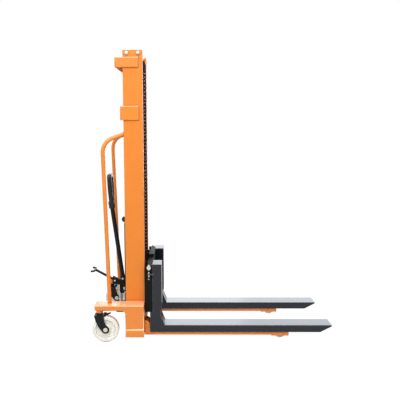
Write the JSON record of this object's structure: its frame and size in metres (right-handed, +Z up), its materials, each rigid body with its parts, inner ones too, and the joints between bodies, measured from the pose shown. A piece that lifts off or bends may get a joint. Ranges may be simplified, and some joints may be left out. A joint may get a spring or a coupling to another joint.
{
  "type": "hand pallet truck",
  "caption": "Manual hydraulic stacker truck with a telescopic mast, lift chain, forks over straddle legs, pump lever, grab bars and braked casters.",
  "frame": {"origin": "on the floor, under the middle of the machine's length and width", "axes": "+X from the grab bars towards the fork tips, +Y to the left, +Z up from the floor"},
  "size_m": [1.695, 0.756, 1.963],
  "materials": {
    "orange_paint": "semi-gloss powder coat",
    "black_paint": "gloss black paint",
    "zinc": "bright zinc plate",
    "steel": "turned steel",
    "chain_steel": "oiled dark steel",
    "hard_chrome": "hard chromed rod",
    "white_nylon": "off-white nylon",
    "black_plastic": "moulded black plastic"
  },
  "bodies": {
    "chassis": {"base_frame": "orange_paint", "leg_right": "orange_paint", "leg_left": "orange_paint", "mast_channel_right": "orange_paint", "mast_channel_left": "orange_paint", "mast_top_bracket": "orange_paint", "mast_mid_bracket": "orange_paint", "head_roller_plates": "steel", "head_bolts": "zinc", "grab_bar_right": "orange_paint", "grab_bar_left": "orange_paint", "lift_cylinder": "black_paint", "chain_anchor": "black_paint", "chain_rear": "chain_steel", "pump_body": "black_paint", "rocker_cheeks": "black_paint", "plunger_spring": "zinc", "oil_pipe": "zinc", "load_axles": "steel"},
    "inner_mast": {"inner_rail_right": "orange_paint", "inner_rail_left": "orange_paint", "inner_head_beam": "orange_paint", "inner_foot_beam": "orange_paint", "wheel_axle": "steel", "lift_rod": "hard_chrome", "chain_front": "chain_steel", "chain_wrap": "chain_steel"},
    "chain_wheel": {"chain_wheel": "chain_steel"},
    "carriage": {"carriage_frame": "black_paint", "carriage_clevis": "black_paint", "fork_right": "black_paint", "fork_left": "black_paint"},
    "pump_lever": {"rocker": "black_paint", "lever_tube": "black_paint", "lever_grip": "black_plastic", "foot_pedal": "black_paint"},
    "plunger": {"pump_plunger": "zinc"},
    "release": {"release_rod": "black_paint", "release_knob": "black_plastic"},
    "head_roller_right": {"head_roller_right": "steel"},
    "foot_roller_right": {"foot_roller_right": "steel"},
    "carriage_roller_low_right": {"carriage_roller_low_right": "steel"},
    "carriage_roller_high_right": {"carriage_roller_high_right": "steel"},
    "fork_pin_right": {"fork_pin_right": "zinc"},
    "load_roller_right": {"load_roller_right": "white_nylon"},
    "caster_wheel_right": {"caster_wheel_right": "white_nylon"},
    "brake_pedal_right": {"brake_pedal_right": "black_paint"},
    "caster_right": {"caster_fork_right": "black_paint", "caster_axle_right": "zinc"},
    "head_roller_left": {"head_roller_left": "steel"},
    "foot_roller_left": {"foot_roller_left": "steel"},
    "carriage_roller_low_left": {"carriage_roller_low_left": "steel"},
    "carriage_roller_high_left": {"carriage_roller_high_left": "steel"},
    "fork_pin_left": {"fork_pin_left": "zinc"},
    "load_roller_left": {"load_roller_left": "white_nylon"},
    "caster_wheel_left": {"caster_wheel_left": "white_nylon"},
    "brake_pedal_left": {"brake_pedal_left": "black_paint"},
    "caster_left": {"caster_fork_left": "black_paint", "caster_axle_left": "zinc"}
  },
  "joints": [
    {"name": "mast_lift", "type": "slide", "parent": "chassis", "child": "inner_mast", "axis": [0, 0, 1], "range_m": [0, 1.25], "deforming": ["chain_rear"]},
    {"name": "carriage_lift", "type": "slide", "parent": "inner_mast", "child": "carriage", "axis": [0, 0, 1], "range_m": [0, 1.25], "deforming": ["chain_front"]},
    {"name": "chain_wheel_spin", "type": "hinge", "parent": "inner_mast", "child": "chain_wheel", "pos_m": [-0.49253, 0, 1.88], "axis": [0, 1, 0], "range_deg": [-1465, 0]},
    {"name": "head_roller_spin_right", "type": "hinge", "parent": "chassis", "child": "head_roller_right", "pos_m": [-0.50646, -0.2265, 1.888], "axis": [0, 1, 0], "range_deg": [0, 1810]},
    {"name": "foot_roller_spin_right", "type": "hinge", "parent": "inner_mast", "child": "foot_roller_right", "pos_m": [-0.50646, -0.234, 0.14], "axis": [0, 1, 0], "range_deg": [-1339, 0]},
    {"name": "carriage_roller_low_spin_right", "type": "hinge", "parent": "carriage", "child": "carriage_roller_low_right", "pos_m": [-0.50646, -0.1995, 0.245], "axis": [0, 1, 0], "range_deg": [-1810, 0]},
    {"name": "carriage_roller_high_spin_right", "type": "hinge", "parent": "carriage", "child": "carriage_roller_high_right", "pos_m": [-0.50646, -0.1995, 0.46], "axis": [0, 1, 0], "range_deg": [0, 1810]},
    {"name": "head_roller_spin_left", "type": "hinge", "parent": "chassis", "child": "head_roller_left", "pos_m": [-0.50646, 0.2265, 1.888], "axis": [0, 1, 0], "range_deg": [0, 1810]},
    {"name": "foot_roller_spin_left", "type": "hinge", "parent": "inner_mast", "child": "foot_roller_left", "pos_m": [-0.50646, 0.234, 0.14], "axis": [0, 1, 0], "range_deg": [-1339, 0]},
    {"name": "carriage_roller_low_spin_left", "type": "hinge", "parent": "carriage", "child": "carriage_roller_low_left", "pos_m": [-0.50646, 0.1995, 0.245], "axis": [0, 1, 0], "range_deg": [-1810, 0]},
    {"name": "carriage_roller_high_spin_left", "type": "hinge", "parent": "carriage", "child": "carriage_roller_high_left", "pos_m": [-0.50646, 0.1995, 0.46], "axis": [0, 1, 0], "range_deg": [0, 1810]},
    {"name": "lever_swing", "type": "hinge", "parent": "chassis", "child": "pump_lever", "pos_m": [-0.60346, 0, 0.275], "axis": [0, -1, 0], "range_deg": [0, 50], "stiffness_Nm_per_rad": 10, "springref_deg": -28.65},
    {"name": "plunger_slide", "type": "slide", "parent": "chassis", "child": "plunger", "axis": [0, 0, -1], "range_m": [0, 0.03073], "deforming": ["plunger_spring"]},
    {"name": "release_pull", "type": "slide", "parent": "chassis", "child": "release", "axis": [0, 0, 1], "range_m": [0, 0.015]},
    {"name": "caster_swivel_right", "type": "hinge", "parent": "chassis", "child": "caster_right", "pos_m": [-0.74546, -0.338, 0.2037], "axis": [0, 0, 1], "continuous": true},
    {"name": "caster_wheel_spin_right", "type": "hinge", "parent": "caster_right", "child": "caster_wheel_right", "pos_m": [-0.70346, -0.338, 0.09], "axis": [0, 1, 0], "continuous": true},
    {"name": "brake_press_right", "type": "hinge", "parent": "caster_right", "child": "brake_pedal_right", "pos_m": [-0.70346, -0.338, 0.193], "axis": [0, 1, 0], "range_deg": [0, 12]},
    {"name": "load_roller_spin_right", "type": "hinge", "parent": "chassis", "child": "load_roller_right", "pos_m": [0.49554, -0.2375, 0.037], "axis": [0, 1, 0], "continuous": true},
    {"name": "fork_pin_lift_right", "type": "slide", "parent": "carriage", "child": "fork_pin_right", "axis": [0, 0, 1], "range_m": [0, 0.07]},
    {"name": "caster_swivel_left", "type": "hinge", "parent": "chassis", "child": "caster_left", "pos_m": [-0.74546, 0.338, 0.2037], "axis": [0, 0, 1], "continuous": true},
    {"name": "caster_wheel_spin_left", "type": "hinge", "parent": "caster_left", "child": "caster_wheel_left", "pos_m": [-0.70346, 0.338, 0.09], "axis": [0, 1, 0], "continuous": true},
    {"name": "brake_press_left", "type": "hinge", "parent": "caster_left", "child": "brake_pedal_left", "pos_m": [-0.70346, 0.338, 0.193], "axis": [0, 1, 0], "range_deg": [0, 12]},
    {"name": "load_roller_spin_left", "type": "hinge", "parent": "chassis", "child": "load_roller_left", "pos_m": [0.49554, 0.2375, 0.037], "axis": [0, 1, 0], "continuous": true},
    {"name": "fork_pin_lift_left", "type": "slide", "parent": "carriage", "child": "fork_pin_left", "axis": [0, 0, 1], "range_m": [0, 0.07]}
  ],
  "couplings": [
    {"joint": "carriage_lift", "follows": "mast_lift", "ratio": 1},
    {"joint": "chain_wheel_spin", "follows": "mast_lift", "rad_per_m": -20.379},
    {"joint": "head_roller_spin_right", "follows": "mast_lift", "rad_per_m": 25.189},
    {"joint": "foot_roller_spin_right", "follows": "mast_lift", "rad_per_m": -18.622},
    {"joint": "carriage_roller_low_spin_right", "follows": "mast_lift", "rad_per_m": -25.189},
    {"joint": "carriage_roller_high_spin_right", "follows": "mast_lift", "rad_per_m": 25.189},
    {"joint": "head_roller_spin_left", "follows": "mast_lift", "rad_per_m": 25.189},
    {"joint": "foot_roller_spin_left", "follows": "mast_lift", "rad_per_m": -18.622},
    {"joint": "carriage_roller_low_spin_left", "follows": "mast_lift", "rad_per_m": -25.189},
    {"joint": "carriage_roller_high_spin_left", "follows": "mast_lift", "rad_per_m": 25.189},
    {"joint": "plunger_slide", "follows": "lever_swing", "m_per_rad": 0.034869}
  ]
}
